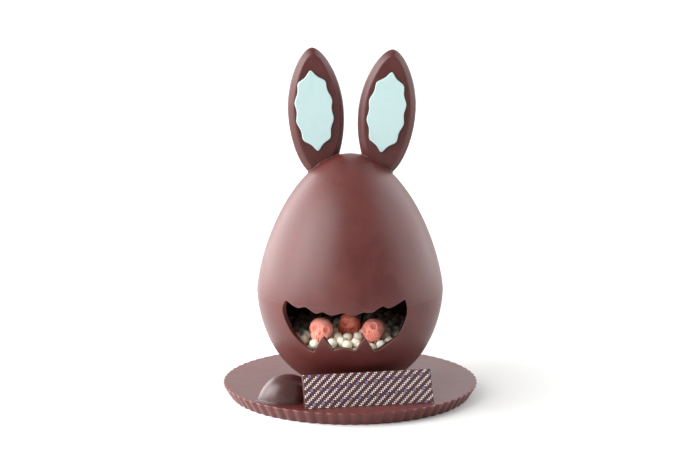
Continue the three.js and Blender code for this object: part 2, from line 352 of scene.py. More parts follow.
@dataclass(frozen=True)
class PrintedChocolate:
    """Chocolate with slanting white zigzag ribbons and small pale blue rings on its front."""

    name: str = "printed_chocolate"
    ground: Colour = (0.049, 0.0100, 0.0088)
    ground_pale: Colour = (0.063, 0.0140, 0.0122)
    ground_from: Pair = (0.35, 0.75)
    ink: Colour = (0.90, 0.88, 0.90)
    blue: Colour = (0.21, 0.27, 0.52)
    slant: float = 43.0
    row_mm: float = 3.25
    cell_mm: float = 13.8
    row_shift: float = 0.31
    zigzag_mm: float = 1.45
    zigzag_from_mm: float = 2.6
    sweep_mm: float = 0.62
    half_stroke_mm: float = 0.255
    ring_at_mm: float = 1.3
    ring_mm: float = 0.62
    ring_from: Pair = (0.35, 1.5)
    on_front: float = 0.98
    streaks: Noise = Noise(6, 4, 0.6, 0.8)
    wear: Noise = Noise(0.8, 3, 0.7)
    wear_from: Pair = (0.3, 0.62)
    worn: float = 0.72
    grain: Noise = Noise(0.5, 2, 0.6)
    rough: Pair = (0.36, 0.46)
    skin_mm: float = 0.03
    skin_shares: Pair = (0.4, 0.5)
    ior: float = 1.47
    slot: Slot = Slot.PRINT

    def material(self) -> Material:
        """Builds the material.

        Returns:
            The material.
        """
        book = NodeBook(bpy.data.materials.new(self.name))
        across, up, front = map(book.kept, ("print_across", "print_up", "print_front"))
        cos, sin = math.cos(math.radians(self.slant)), math.sin(math.radians(self.slant))
        rows = (up * cos - across * sin) / self.row_mm
        aside = (rows.part() - 0.5) * self.row_mm
        cells = (across * cos + up * sin) / self.cell_mm + rows.whole() * self.row_shift
        reached = cells.part() * self.cell_mm
        swing = (abs((reached / self.zigzag_mm).part() - 0.5) * 4 - 1) * self.sweep_mm
        white = abs(aside - swing).below(self.half_stroke_mm) * reached.above(self.zigzag_from_mm)
        past = reached - self.ring_at_mm
        from_ring = (aside * aside + past * past) / self.ring_mm ** 2
        ring = from_ring.above(self.ring_from[0]) * from_ring.below(self.ring_from[1])
        face = front.above(self.on_front)
        wear = book.noise(self.wear).ramp(*self.wear_from, self.worn, 1.0) * face
        streaks = book.noise(self.streaks)
        base = book.blend(streaks.ramp(*self.ground_from), self.ground, self.ground_pale)
        base = book.blend(white * wear, base, self.ink)
        base = book.blend(ring * wear, base, self.blue)
        height = white.most(ring) * face * self.skin_shares[0]
        height = height + book.noise(self.grain) * self.skin_shares[1]
        return book.finish(Base_Color=base, Roughness=streaks.ramp(*MIDDLE, *self.rough),
                           Normal=book.bump(height, self.skin_mm), IOR=self.ior)


@dataclass(frozen=True)
class MintChocolate:
    """Smooth pale mint chocolate."""

    name: str = "mint_chocolate"
    tone: Colour = (0.380, 0.515, 0.508)
    light: Colour = (0.398, 0.535, 0.528)
    clouds: Noise = Noise(7, 4, 0.6, 0.6)
    grain: Noise = Noise(0.5, 2, 0.5)
    rough: Pair = (0.42, 0.52)
    skin_mm: float = 0.03
    skin_shares: Pair = (0.7, 0.3)
    slot: Slot = Slot.MINT

    def material(self) -> Material:
        """Builds the material.

        Returns:
            The material.
        """
        book = NodeBook(bpy.data.materials.new(self.name))
        clouds, grain = map(book.noise, (self.clouds, self.grain))
        skin = clouds * self.skin_shares[0] + grain * self.skin_shares[1]
        return book.finish(Base_Color=book.blend(clouds.ramp(*MIDDLE), self.tone, self.light),
                           Roughness=clouds.ramp(*MIDDLE, *self.rough),
                           Normal=book.bump(skin, self.skin_mm))


@dataclass(frozen=True)
class CoralSugar:
    """Matt pressed sugar with painted shade, a deeper red, in its hollows."""

    name: str = "coral_sugar"
    tone: Colour = (0.88, 0.275, 0.205)
    light: Colour = (0.95, 0.42, 0.33)
    light_from: Pair = (0.3, 0.72)
    # Painted shade: the deeper red of the skull's eye sockets, nose and tooth gaps
    hollow: Colour = (0.80, 0.190, 0.150)
    painted_recess_shade_from: Pair = (0.1, 0.9)
    painted_recess_shade_share: float = 0.8
    speck_from: Pair = (0.6, 0.8)
    speck_share: float = 0.3
    clouds: Noise = Noise(3.0, 3, 0.6, 0.5)
    grain: Noise = Noise(0.28, 3, 0.7)
    rough: Pair = (0.5, 0.66)
    skin_mm: float = 0.06
    glow_share: float = 0.3
    glow_mm: float = 1.5
    glow: Colour = (1.0, 0.3, 0.2)
    slot: Slot = Slot.CORAL

    def material(self) -> Material:
        """Builds the material.

        Returns:
            The material.
        """
        book = NodeBook(bpy.data.materials.new(self.name))
        clouds, grain = map(book.noise, (self.clouds, self.grain))
        # Painted shade in the skull's hollows
        deep = book.kept("hollow").ramp(*self.painted_recess_shade_from, 0, self.painted_recess_shade_share)
        base = book.blend(clouds.ramp(*self.light_from), self.tone, self.light)
        base = book.blend(deep, base, self.hollow)
        base = book.blend(grain.ramp(*self.speck_from, 0, self.speck_share), base, self.light)
        return book.finish(
            Base_Color=base, Roughness=grain.ramp(*MIDDLE, *self.rough),
            Normal=book.bump(grain, self.skin_mm), Subsurface_Weight=self.glow_share,
            Subsurface_Scale=self.glow_mm * MM, Subsurface_Radius=self.glow)


@dataclass(frozen=True)
class SugarPearl:
    """Polished ivory sugar, each pearl of its own tone, with painted shade on those deep in the
    egg.
    """

    name: str = "sugar_pearl"
    warm: Colour = (0.93, 0.84, 0.65)
    cool: Colour = (0.95, 0.90, 0.78)
    cool_from: Pair = (0.15, 0.95)
    cool_shares: Pair = (0.7, 0.45)
    # Painted shade: the dark olive that pearls deep in the egg are blended toward
    dim: Colour = (0.25, 0.21, 0.15)
    dim_share: float = 0.72
    clouds: Noise = Noise(2.2, 3, 0.6, 0.6)
    grain: Noise = Noise(0.35, 2, 0.6)
    rough: Pair = (0.24, 0.36)
    skin_mm: float = 0.05
    skin_shares: Pair = (0.6, 0.4)
    glow_share: float = 0.12
    glow_mm: float = 1.2
    glow: Colour = (1.0, 0.85, 0.6)
    slot: Slot = Slot.PEARL

    def material(self) -> Material:
        """Builds the material.

        Returns:
            The material.
        """
        book = NodeBook(bpy.data.materials.new(self.name))
        clouds, grain = map(book.noise, (self.clouds, self.grain))
        share = book.kept("tone") * self.cool_shares[0] + clouds * self.cool_shares[1]
        skin = clouds * self.skin_shares[0] + grain * self.skin_shares[1]
        base = book.blend(share.ramp(*self.cool_from), self.warm, self.cool)
        # Painted shade: pearls and core further back in the egg darkened
        base = book.blend(book.kept("dim") * self.dim_share, base, self.dim)
        return book.finish(
            Base_Color=base, Roughness=clouds.ramp(*MIDDLE, *self.rough),
            Normal=book.bump(skin, self.skin_mm),
            Subsurface_Weight=self.glow_share, Subsurface_Scale=self.glow_mm * MM,
            Subsurface_Radius=self.glow)


Finish = DarkChocolate | PrintedChocolate | MintChocolate | CoralSugar | SugarPearl


@lru_cache(maxsize=None)
def material_of(finish: Finish) -> Material:
    """The finish's material, built once."""
    return finish.material()


# Meshes


class Draft:
    """A mesh being drawn up in millimetres."""

    def __init__(self) -> None:
        """Starts with nothing drawn."""
        self.points: list[Array] = []
        self.faces: list[tuple[int, ...]] = []
        self.normals: dict[int, Array] = {}
        self.kept: dict[str, dict[int, Array]] = {}
        self.count = 0

    def add(self, points: Array, **kept: Array | float) -> Array:
        """Adds corners.

        Args:
            points: their places, one a row.
            **kept: a number to keep at all of them, or one for each.

        Returns:
            The corners' numbers, shaped as the points are.
        """
        flat = np.asarray(points, float).reshape(-1, 3)
        numbers = np.arange(self.count, self.count + len(flat)).reshape(np.shape(points)[:-1])
        for name, values in kept.items():
            spread = np.broadcast_to(np.asarray(values, float), len(flat))
            self.kept.setdefault(name, {})[self.count] = spread
        self.points.append(flat)
        self.count += len(flat)
        return numbers

    def face(self, corners: Iterable[int]) -> None:
        """Adds one face."""
        self.faces.append(tuple(int(corner) for corner in corners))

    def bands(self, rows: list[Array]) -> None:
        """Joins each closed row of corners to the next with four-sided faces."""
        for low, high in zip(rows, rows[1:]):
            for quad in zip(low, np.roll(low, -1), np.roll(high, -1), high):
                self.face(quad)

    def loft(self, rings: Iterable[Array]) -> None:
        """Adds rings of corners, joins each to the next and closes both ends."""
        rows = [self.add(ring) for ring in rings]
        self.bands(rows)
        self.face(rows[0])
        self.face(rows[-1])

    def ladder(self, ring: Array) -> None:
        """Closes a ring of odd length with faces from side to side.

        Args:
            ring: its corners, those of one side first and then the other's, back to the start.
        """
        tip = len(ring) // 2
        for i in range(tip - 1):
            self.face(ring[[i, i + 1, -i - 2, -i - 1]])
        self.face(ring[[tip - 1, tip, tip + 1]])

    def fan(self, ring: Array, centre: Array) -> None:
        """Adds a centre and closes the ring with three-sided faces to it."""
        middle = self.add(centre)[0]
        for edge in zip(ring, np.roll(ring, -1)):
            self.face((*edge, middle))

    def tube(self, path: Array, ups: Array, radii: Array, sides: int = 10) -> None:
        """Adds a closed ring of tube.

        Args:
            path: its centreline's points.
            ups: a direction across the path at each point.
            radii: its radius at each point.
            sides: how many sides it has.
        """
        along = unit(np.roll(path, -1, 0) - np.roll(path, 1, 0))
        across = unit(np.cross(along, ups))
        upright = np.cross(across, along)
        rows = []
        for angle in around(sides):
            reach = radii[:, None] * (math.cos(angle) * across + math.sin(angle) * upright)
            rows.append(self.add(path + reach))
        self.bands([*rows, rows[0]])

    def build(self, name: str, crease: float | None = None) -> Object:
        """Makes the object.

        Args:
            name: its name.
            crease: the angle in degrees above which an edge is sharp.

        Returns:
            The object, linked to the scene.
        """
        mesh = bpy.data.meshes.new(name)
        mesh.from_pydata((np.concatenate(self.points) * MM).tolist(), [], self.faces)
        shape = bmesh.new()
        shape.from_mesh(mesh)
        bmesh.ops.recalc_face_normals(shape, faces=shape.faces)
        shape.to_mesh(mesh)
        shape.free()
        smooth(mesh, crease)
        for label, spans in self.kept.items():
            everywhere = np.zeros(self.count)
            for start, values in spans.items():
                everywhere[start:start + len(values)] = values
            keep(mesh, label, everywhere)
        if self.normals:
            own = np.zeros(len(mesh.vertices) * 3, np.float32)
            mesh.vertex_normals.foreach_get("vector", own)
            own = own.reshape(-1, 3)
            for start, normals in self.normals.items():
                own[start:start + len(normals)] = normals
            mesh.normals_split_custom_set_from_vertices(own.tolist())
        made = bpy.data.objects.new(name, mesh)
        bpy.context.scene.collection.objects.link(made)
        return made


def smooth(mesh: Mesh, crease: float | None) -> None:
    """Shades a mesh smooth, apart from edges sharper than the crease in degrees."""
    mesh.polygons.foreach_set("use_smooth", [True] * len(mesh.polygons))
    if crease is not None:
        mesh.set_sharp_from_angle(angle=math.radians(crease))


def keep(mesh: Mesh, label: str, values: Array) -> None:
    """Keeps a number at each corner of a mesh, for its material."""
    attribute = mesh.attributes.new(label, "FLOAT", "POINT")
    attribute.data.foreach_set("value", values.astype(np.float32))


@lru_cache(maxsize=None)
def ball(subdivisions: int, radius: float) -> tuple[Array, list[tuple[int, ...]]]:
    """A ball of nearly even triangles.

    Args:
        subdivisions: how fine it is.
        radius: its radius.

    Returns:
        Its corners, one a row, and its faces.
    """
    shape = bmesh.new()
    bmesh.ops.create_icosphere(shape, subdivisions=subdivisions, radius=radius)
    points = np.array([v.co for v in shape.verts])
    faces = [tuple(v.index for v in f.verts) for f in shape.faces]
    shape.free()
    return points, faces


def settle(piece: Object, finish: Finish, *nodes: str) -> Object:
    """Gives a piece its finish and its place in the frame.

    Args:
        piece: the piece, in place.
        finish: what it is made of.
        *nodes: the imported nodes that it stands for.

    Returns:
        The piece.
    """
    piece.data.materials.append(material_of(finish))
    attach(piece, BODY)
    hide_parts(*nodes)
    mesh = piece.data
    LOG.info("%s: %d corners, %d faces", piece.name, len(mesh.vertices), len(mesh.polygons))
    return piece


@dataclass(frozen=True)
class EggForm:
    """The egg's body of revolution, widest at its waist."""

    waist: float = 63.2
    radius: float = 54.5
    upper: Triple = (80.0, 1.463, 1.98)
    lower: Triple = (56.6, 1.714, 2.752)
    slope_step: float = 0.05
    halvings: int = 34

    def girth(self, z: Array | float, inset: float = 0.0) -> Array:
        """The radius at heights.

        Args:
            z: the heights.
            inset: how far inside the egg's surface.

        Returns:
            The radius at each height.
        """
        z = np.asarray(z, float)
        height, fall, blunt = np.moveaxis(
            np.where((z > self.waist)[..., None], self.upper, self.lower), -1, 0)
        along = np.clip(np.abs(z - self.waist) / (height - inset), 0, 1)
        return (self.radius - inset) * (1 - along ** fall) ** (1 / blunt)

    def point(self, azimuth: Array, z: Array, inset: float = 0.0) -> Array:
        """Points on the surface.

        Args:
            azimuth: degrees from the front, to the right.
            z: their heights.
            inset: how far inside the surface.

        Returns:
            One point a row.
        """
        reach = self.girth(z, inset)
        angle = np.radians(azimuth)
        return np.stack([reach * np.sin(angle), -reach * np.cos(angle), z + 0 * angle], -1)

    def normal(self, points: Array, inset: float = 0.0) -> Array:
        """The outward direction of the surface.

        Args:
            points: points on it.
            inset: how far inside the egg it lies.

        Returns:
            One direction a row.
        """
        z = points[..., 2]
        step = self.slope_step
        slope = (self.girth(z + step, inset) - self.girth(z - step, inset)) / (2 * step)
        reach = np.maximum(np.hypot(points[..., 0], points[..., 1]), TINY)
        sides = points[..., :2] / reach[..., None]
        return unit(np.concatenate([sides, -slope[..., None]], -1))

    def outside(self, points: Array, inset: float = 0.0) -> Array:
        """How far points are from the axis beyond the surface at their height."""
        return np.hypot(points[..., 0], points[..., 1]) - self.girth(points[..., 2], inset)

    def exit(self, starts: Array, way: Array, length: float, inset: float = 0.0) -> Array:
        """How far along a direction each start leaves the egg.

        Args:
            starts: points that may lie inside.
            way: the direction.
            length: how far away is surely outside.
            inset: how far inside the surface.

        Returns:
            The distance, next to nothing for a start that is outside already.
        """
        low, high = np.zeros(len(starts)), np.full(len(starts), length)
        for _ in range(self.halvings):
            middle = (low + high) / 2
            inside = self.outside(starts + middle[:, None] * way, inset) < 0
            low, high = np.where(inside, middle, low), np.where(inside, high, middle)
        return high


EGG = EggForm()


def straight(points: Iterable[Pair], steps: int) -> Array:
    """Straight stretches between points, without the last one, in steps for each stretch."""
    shares = (np.arange(steps) / steps)[:, None]
    known = np.asarray(points, float)
    return np.concatenate([a + (b - a) * shares for a, b in zip(known, known[1:])])


def spline(points: Iterable[Pair], steps: int) -> Array:
    """A smooth line through points, without the last one.

    Args:
        points: the points that it passes.
        steps: how many steps each stretch has.

    Returns:
        One point a row.
    """
    known = np.asarray(points, float)
    line = []
    for i in range(len(known) - 1):
        before, start = known[max(i - 1, 0)], known[i]
        end, after = known[i + 1], known[min(i + 2, len(known) - 1)]
        leave, arrive = (end - before) / 2, (after - start) / 2
        for t in np.arange(steps) / steps:
            line.append((2 * start - 2 * end + leave + arrive) * t ** 3
                        + (-3 * start + 3 * end - 2 * leave - arrive) * t ** 2 + leave * t + start)
    return np.array(line)


def evenly(line: Array, count: int) -> Array:
    """A closed line's points spaced evenly along it.

    Args:
        line: its points.
        count: how many there are to be.

    Returns:
        The new points.
    """
    loop = np.concatenate([line, line[:1]])
    reached = np.concatenate([[0], np.cumsum(np.linalg.norm(np.diff(loop, axis=0), axis=1))])
    wanted = np.arange(count) * reached[-1] / count
    return np.stack([np.interp(wanted, reached, loop[:, i]) for i in range(loop.shape[1])], -1)


def softened(line: Array, reach: float) -> Array:
    """A closed line with its corners rounded.

    Args:
        line: evenly spaced points.
        reach: how many points away each one is averaged over.

    Returns:
        The rounded line.
    """
    spread = np.arange(-int(3 * reach), int(3 * reach) + 1)
    weights = np.exp(-(spread / reach) ** 2 / 2)
    weights /= weights.sum()
    return sum(w * np.roll(line, s, 0) for w, s in zip(weights, spread))


def outward(line: Array) -> Array:
    """The direction away from a flat closed line that runs counterclockwise."""
    along = unit(np.roll(line, -1, 0) - np.roll(line, 1, 0))
    return np.stack([along[:, 1], -along[:, 0]], -1)


def within(points: Array, outline: Array) -> Array:
    """Which flat points lie inside a closed outline.

    Args:
        points: the points, one a row.
        outline: the outline's points.

    Returns:
        Whether each point does.
    """
    x, y = points[:, 0:1], points[:, 1:2]
    ax, ay = outline.T
    bx, by = np.roll(ax, -1), np.roll(ay, -1)
    spans = (ay > y) != (by > y)
    height = np.where(np.abs(by - ay) < TINY, TINY, by - ay)
    left = x < (bx - ax) * (y - ay) / height + ax
    return (spans & left).sum(1) % 2 == 1


@dataclass(frozen=True)
class Mouth:
    """The jagged opening, as azimuth in degrees and height."""

    upper_lip: tuple[Pair, ...] = (
        (-33.3, 61.9), (-28.1, 63.2), (-21, 59.8), (-16.7, 61.2), (-11.3, 59.3), (-3.8, 61.1),
        (2, 59.3), (8.2, 61.5), (13, 60.8), (20, 64.3), (24.5, 62.8), (35.6, 66.7),
    )
    right_side: tuple[Pair, ...] = (
        (37, 57.6), (33.3, 47.8), (29.1, 43.4), (21.9, 38.6), (16.6, 36.7))
    right_fang: tuple[Pair, ...] = ((9.6, 46.3), (3.5, 37.4))
    lower_lip: tuple[Pair, ...] = ((-4.5, 39.3), (-11.6, 37.6))
    left_fang: tuple[Pair, ...] = ((-17.5, 46.3), (-25.6, 35.4))
    left_side: tuple[Pair, ...] = (
        (-30.5, 37.1), (-36.2, 41.8), (-41.9, 48.5), (-45.7, 59), (-42.6, 65.4))
    steps: int = 14
    corners: int = 560
    softness: float = 2.2

    def outline(self, across_mm: float) -> Array:
        """The outline in millimetres, counterclockwise.

        Args:
            across_mm: the millimetres in one degree of azimuth.

        Returns:
            Across and height, one point a row.
        """
        stretches = (
            (spline, self.upper_lip), (spline, self.right_side), (straight, self.right_fang),
            (spline, self.lower_lip), (straight, self.left_fang), (spline, self.left_side))
        start, lines = self.left_side[-1], []
        for draw, points in stretches:
            lines.append(draw([start, *points], self.steps))
            start = points[-1]
        flat = np.concatenate(lines)[::-1] * (across_mm, 1)
        return softened(evenly(flat, self.corners), self.softness)


@dataclass(frozen=True)
class Skin:
    """One surface of the shell: its depth, its foot's height, its grid and where it faces."""

    inset: float
    foot: float
    columns: int
    rows: int
    facing: int


@dataclass
class EggShell:
    """The hollow egg with its mouth, and the melted chocolate round its foot."""

    outer: Skin = Skin(0.0, 7.8, 192, 104, 1)
    inner: Skin = Skin(3.3, 11.3, 120, 64, -1)
    edge: float = 0.38
    edge_steps: int = 4
    wall_steps: int = 5
    margin: float = 1.35
    undercut: float = 0.6
    undercut_from: Pair = (25.0, 33.0)
    # Painted shade on the mouth's cut wall: weakest at its left end, full toward the right,
    # starting a little way in from the outer edge
    shade_from: Pair = (-30.0, 5.0)
    shade_depth: Pair = (0.6, 2.2)
    least_shade: float = 0.3
    bead: Pair = (0.85, 0.35)
    bead_at: Pair = (0.6, 0.25)
    bead_points: int = 220
    bead_waves: tuple[Triple, ...] = ((3, 1, 0.3), (7, 0, 0.2), (13, 2, 0.1))
    bead_wander: float = 0.1
    mouth: Mouth = Mouth()
    finish: DarkChocolate = DarkChocolate("shell_chocolate", gloss=0.41, seam_mm=63.2)

    def build(self) -> Object:
        """Builds the shell.

        Returns:
            The piece.
        """
        self.draft = Draft()
        self.scale = math.radians(EGG.radius)
        self.line = self.mouth.outline(self.scale)
        self.away = outward(self.line)
        rings = [self.add_ring(aside, inset) for aside, inset in self.lip_section()]
        self.draft.bands(rings)
        self.surface(self.outer, rings[0])
        self.surface(self.inner, rings[-1])
        self.foot_bead()
        return settle(self.draft.build("EggShell"), self.finish, "egg_shell")

    def lip_section(self) -> list[Pair]:
        """The lip's section.

        Returns:
            Pairs of distance from the cut and depth below the outer surface.
        """
        wall = self.inner.inset
        outer = [(self.edge * (1 - math.sin(t)), self.edge * (1 - math.cos(t)))
                 for t in quarter(self.edge_steps)]
        inner = [(aside, wall - depth) for aside, depth in reversed(outer)]
        deep = np.linspace(self.edge, wall - self.edge, self.wall_steps + 1)[1:-1]
        return [*outer, *((0.0, depth) for depth in deep), *inner]

    def add_ring(self, aside: float, inset: float) -> Array:
        """Adds one ring of corners round the mouth.

        Args:
            aside: how far it lies from the cut.
            inset: how far below the outer surface.

        Returns:
            The corners' numbers.
        """
        flat = self.edge_line(aside, inset)
        azimuth = flat[:, 0] / self.scale
        # Painted shade, kept as cut: the cut wall darkened more toward the right and deeper in
        shade = self.least_shade + (1 - self.least_shade) * rise(azimuth, *self.shade_from)
        shade = shade * rise(inset, *(self.edge * share for share in self.shade_depth))
        # Painted highlight, kept as rim: strongest halfway round the outer edge's rounding
        rim = math.sin(math.pi * min(inset / self.edge, 1))
        return self.draft.add(EGG.point(azimuth, flat[:, 1], inset), cut=shade, rim=rim)

    def edge_line(self, aside: float, inset: float) -> Array:
        """The mouth's flat outline at a depth, undercut at its right end."""
        slant = self.undercut * inset * rise(self.line[:, 0] / self.scale, *self.undercut_from)
        return self.line + self.away * (aside + slant)[:, None]

    def surface(self, skin: Skin, rim: Array) -> None:
        """Adds the outer or the inner surface up to the mouth's rim.

        Args:
            skin: which surface.
            rim: the corners round the mouth that it joins.
        """
        crown = EGG.waist + EGG.upper[0] - skin.inset
        climb = np.sin(math.pi * (np.arange(skin.rows) / skin.rows - 0.5))
        heights = EGG.waist + climb * np.where(climb < 0, EGG.waist - skin.foot, crown - EGG.waist)
        azimuths = np.arange(skin.columns) * 360 / skin.columns - 180
        spread, level = np.meshgrid(azimuths, heights)
        points = EGG.point(spread, level, skin.inset)
        grid = self.draft.add(points)
        normals = skin.facing * EGG.normal(points, skin.inset)
        self.draft.normals[int(grid[0, 0])] = normals.reshape(-1, 3)
        edge = self.edge_line(self.edge, skin.inset)
        on_edge = EGG.point(edge[:, 0] / self.scale, edge[:, 1], skin.inset)
        self.draft.normals[int(rim[0])] = skin.facing * EGG.normal(on_edge, skin.inset)
        flat = np.stack([spread * self.scale, level], -1)
        near = self.near_mouth(flat.reshape(-1, 2), edge).reshape(flat.shape[:2])
        cut = near | np.roll(near, -1, 1)
        cut = cut[:-1] | cut[1:]
        for i, j in zip(*np.nonzero(~cut)):
            k = (j + 1) % skin.columns
            self.draft.face((grid[i, j], grid[i, k], grid[i + 1, k], grid[i + 1, j]))
        self.draft.fan(grid[-1], np.array([[0, 0, crown]]))
        self.draft.face(grid[0])
        self.fill(cut, grid, flat, rim, edge)

    def near_mouth(self, flat: Array, edge: Array) -> Array:
        """Which points lie in the mouth or close to its edge.

        Args:
            flat: flat points, one a row.
            edge: the mouth's edge.

        Returns:
            Whether each point does.
        """
        near = np.zeros(len(flat), bool)
        low, high = edge.min(0) - self.margin, edge.max(0) + self.margin
        box = np.all((flat > low) & (flat < high), 1)
        inside = flat[box]
        apart = np.linalg.norm(inside[:, None] - edge[None], axis=2).min(1)
        near[box] = within(inside, edge) | (apart < self.margin)
        return near

    def fill(self, cut: Array, grid: Array, flat: Array, rim: Array, edge: Array) -> None:
        """Fills the surface between the grid and the mouth's rim.

        Args:
            cut: which of the grid's quads are left out.
            grid: the grid's corner numbers.
            flat: their flat places.
            rim: the rim's corner numbers.
            edge: their flat places.
        """
        sides: dict[tuple, int] = {}
        for i, j in zip(*np.nonzero(cut)):
            corners = [(i, j), (i, j + 1), (i + 1, j + 1), (i + 1, j)]
            for a, b in zip(corners, corners[1:] + corners[:1]):
                key = tuple(sorted((a, b)))
                sides[key] = sides.get(key, 0) + 1
        border = [key for key, uses in sides.items() if uses == 1]
        spots = sorted({corner for key in border for corner in key})
        count = len(edge)
        place = {corner: count + n for n, corner in enumerate(spots)}
        numbers = [*rim, *(grid[corner] for corner in spots)]
        plane = [Vector(p) for p in (*edge, *(flat[corner] for corner in spots))]
        lines = [(i, (i + 1) % count) for i in range(count)]
        lines += [(place[a], place[b]) for a, b in border]
        made = delaunay_2d_cdt(plane, lines, [], 0, 1e-6)
        corners, faces, sources = np.array([list(v) for v in made[0]]), made[2], made[3]
        middles = np.array([corners[list(face)].mean(0) for face in faces])
        step = flat[0, 1, 0] - flat[0, 0, 0]
        columns = np.floor((middles[:, 0] - flat[0, 0, 0]) / step).astype(int)
        levels = np.searchsorted(flat[:, 0, 1], middles[:, 1]) - 1
        wanted = cut[levels.clip(0, cut.shape[0] - 1), columns.clip(0, cut.shape[1] - 1)]
        wanted &= ~within(middles, edge)
        for face, wants in zip(faces, wanted):
            if wants:
                self.draft.face(numbers[sources[v][0]] for v in face)

    def foot_bead(self) -> None:
        """Adds a thin uneven line of melted chocolate where the egg stands on the disc."""
        angles = around(self.bead_points)
        sway = ripple(angles, self.bead_waves)
        reach = EGG.girth(DISC_TOP + self.bead_at[0]) + self.bead_wander * sway
        path = level_ring(reach, angles, DISC_TOP + self.bead_at[1])
        ups = np.tile([0.0, 0.0, 1.0], (len(angles), 1))
        self.draft.tube(path, ups, self.bead[0] + self.bead[1] * sway)


@dataclass
class FlutedDisc:
    """The round base with its fluted side.

    The foot's rows are given as distance in from its edge, height and how deep the flutes are
    there, and the top's as distance in from the rim and that depth.
    """

    radius: float = 75.0
    foot_radius: float = 70.5
    flutes: int = 70
    flute_depth: float = 0.95
    flute_blunt: float = 1.5
    steps: int = 14
    foot_rows: tuple[Triple, ...] = ((4.0, 0.0, 0.0), (0.4, 0.0, 1.0), (0.0, 0.35, 1.0))
    side_foot: float = 1.4
    side_rows: int = 5
    rim: float = 0.7
    rim_steps: int = 5
    rim_fade: float = 0.12
    top_rows: tuple[Pair, ...] = ((1.9, 0.5), (3.4, 0.0), (9.0, 0.0))
    crease: float = 50.0
    finish: DarkChocolate = DarkChocolate(
        "disc_chocolate", deep=(0.086, 0.0160, 0.0134), pale=(0.108, 0.0236, 0.0204), gloss=0.33,
        grain=Noise(0.55, 2, 0.6), skin_mm=0.125, veil_share=0.3)

    def build(self) -> Object:
        """Builds the disc.

        Returns:
            The piece.
        """
        draft = Draft()
        draft.loft(self.ring(*row) for row in self.section())
        return settle(draft.build("FlutedDisc", self.crease), self.finish, "fluted_disc")

    def section(self) -> list[Triple]:
        """The side's section.

        Returns:
            Triples of radius, height and how deep the flutes are there.
        """
        shoulder = DISC_TOP - self.rim
        lean = (self.radius - self.foot_radius) / shoulder
        return [
            *((self.foot_radius - inset, z, share) for inset, z, share in self.foot_rows),
            *((self.foot_radius + lean * z, z, 1.0)
              for z in np.linspace(self.side_foot, shoulder, self.side_rows)),
            *((self.radius - self.rim * (1 - math.cos(t)), shoulder + self.rim * math.sin(t),
               1 - self.rim_fade * t) for t in quarter(self.rim_steps)[1:]),
            *((self.radius - inset, DISC_TOP, share) for inset, share in self.top_rows),
        ]

    def ring(self, reach: float, z: float, share: float) -> Array:
        """One ring, drawn in between each two flutes."""
        angles = around(self.flutes * self.steps)
        groove = 1 - np.abs(np.cos(self.flutes * angles / 2)) ** self.flute_blunt
        return level_ring(reach - share * self.flute_depth * groove, angles, z)


